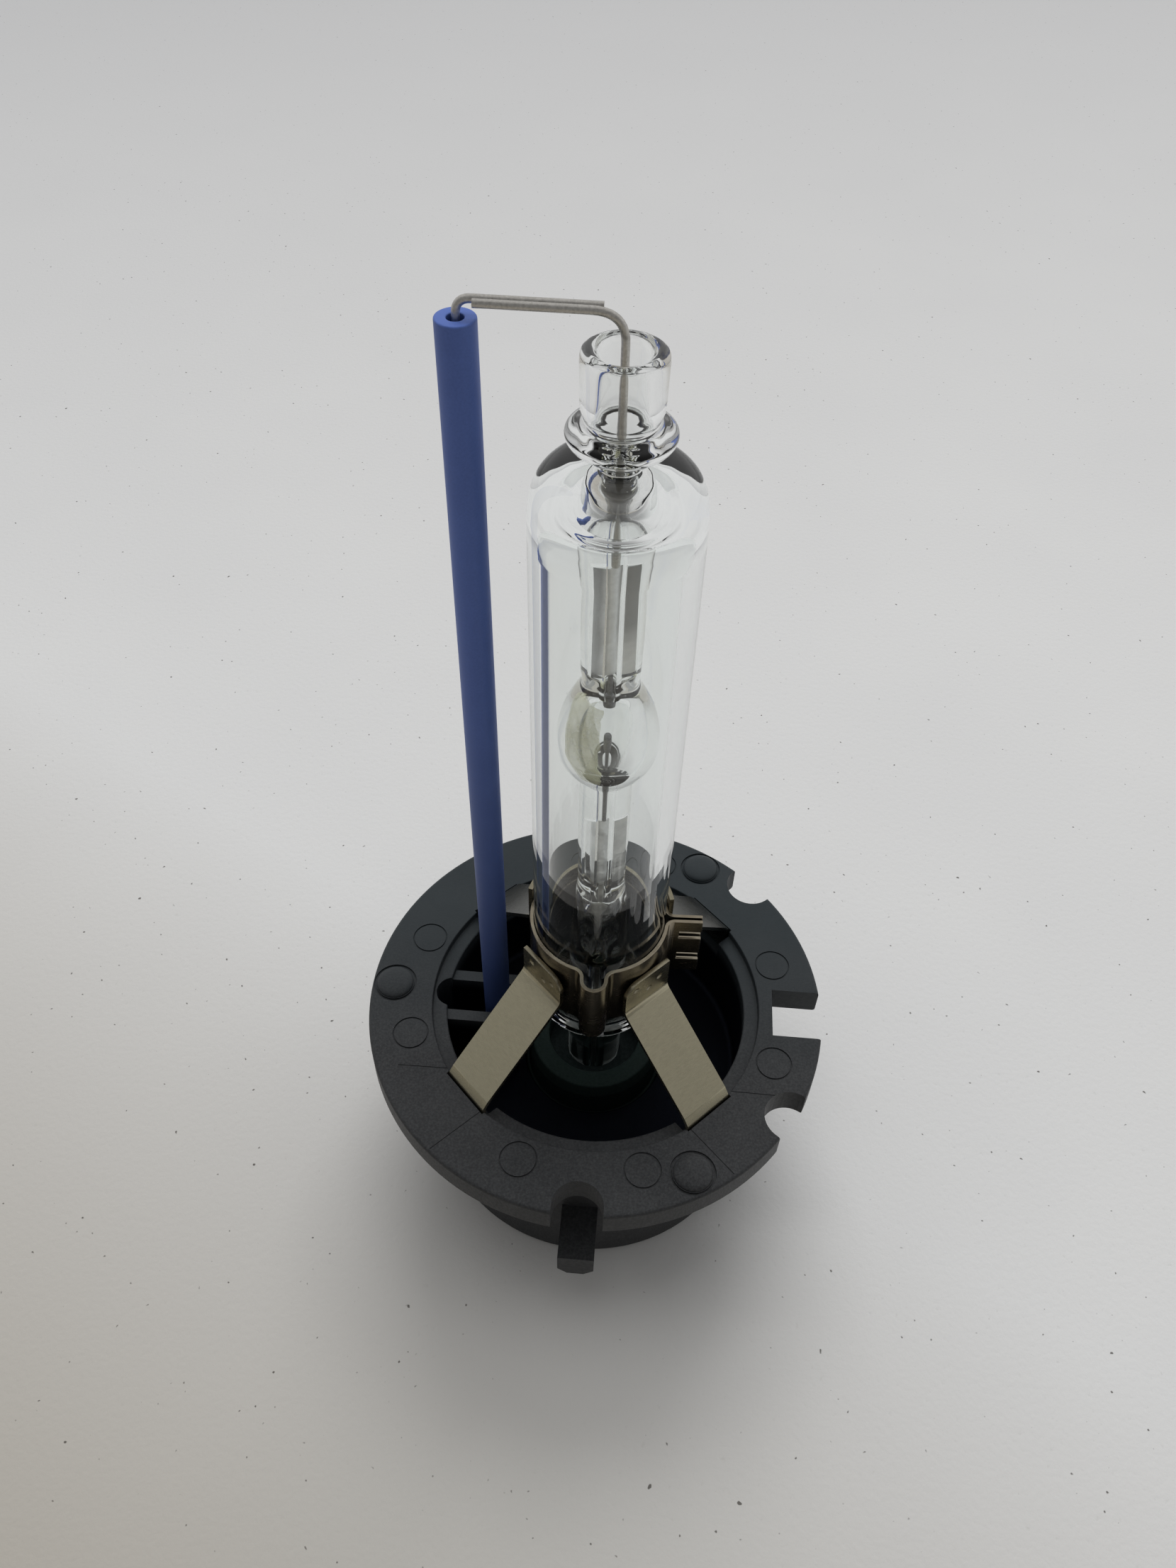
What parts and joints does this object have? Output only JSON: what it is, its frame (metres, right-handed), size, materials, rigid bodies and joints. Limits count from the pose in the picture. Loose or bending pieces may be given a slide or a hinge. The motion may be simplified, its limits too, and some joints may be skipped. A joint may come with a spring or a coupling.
{
  "type": "headlight bulb",
  "caption": "Gas-discharge headlight bulb: a clamped glass burner on welded legs above a moulded cap with a coded flange, locking lugs and a rear plug socket.",
  "frame": {"origin": "centre of the cap's rear rim, on the lamp's axis", "axes": "+Z along the lamp's axis from the cap towards the burner's tip; +X towards the rectangular coding notch; -Y towards one of the two locking lugs"},
  "size_m": [0.0334, 0.0332, 0.0699],
  "materials": {
    "cap_plastic": "satin moulded",
    "insulator": "moulded",
    "cement": "dark bedding compound",
    "contact_brass": "stamped",
    "leg_steel": "dull, heat tinted",
    "band_steel": "bright, heat tinted",
    "quartz": "clear, polished",
    "molybdenum": "foil",
    "tungsten": "drawn",
    "nickel_wire": "drawn wire",
    "blue_ceramic": "satin",
    "salts": "crystalline film"
  },
  "bodies": {
    "root": {"cap_body": "cap_plastic", "connector_core": "insulator", "stem_sleeve": "insulator", "stem_cement": "cement", "contact_pin": "contact_brass", "ring_contact": "contact_brass", "return_terminal": "contact_brass", "leg_front_left": "leg_steel", "leg_front_right": "leg_steel", "leg_back_left": "leg_steel", "leg_back_right": "leg_steel", "clamp_band": "band_steel", "outer_jacket": "quartz", "arc_tube": "quartz", "lower_foil": "molybdenum", "upper_foil": "molybdenum", "lower_electrode": "tungsten", "upper_electrode": "tungsten", "salt_pool": "salts", "upper_lead": "nickel_wire", "lower_lead": "nickel_wire", "return_wire": "nickel_wire", "ceramic_tube": "blue_ceramic"}
  },
  "joints": []
}
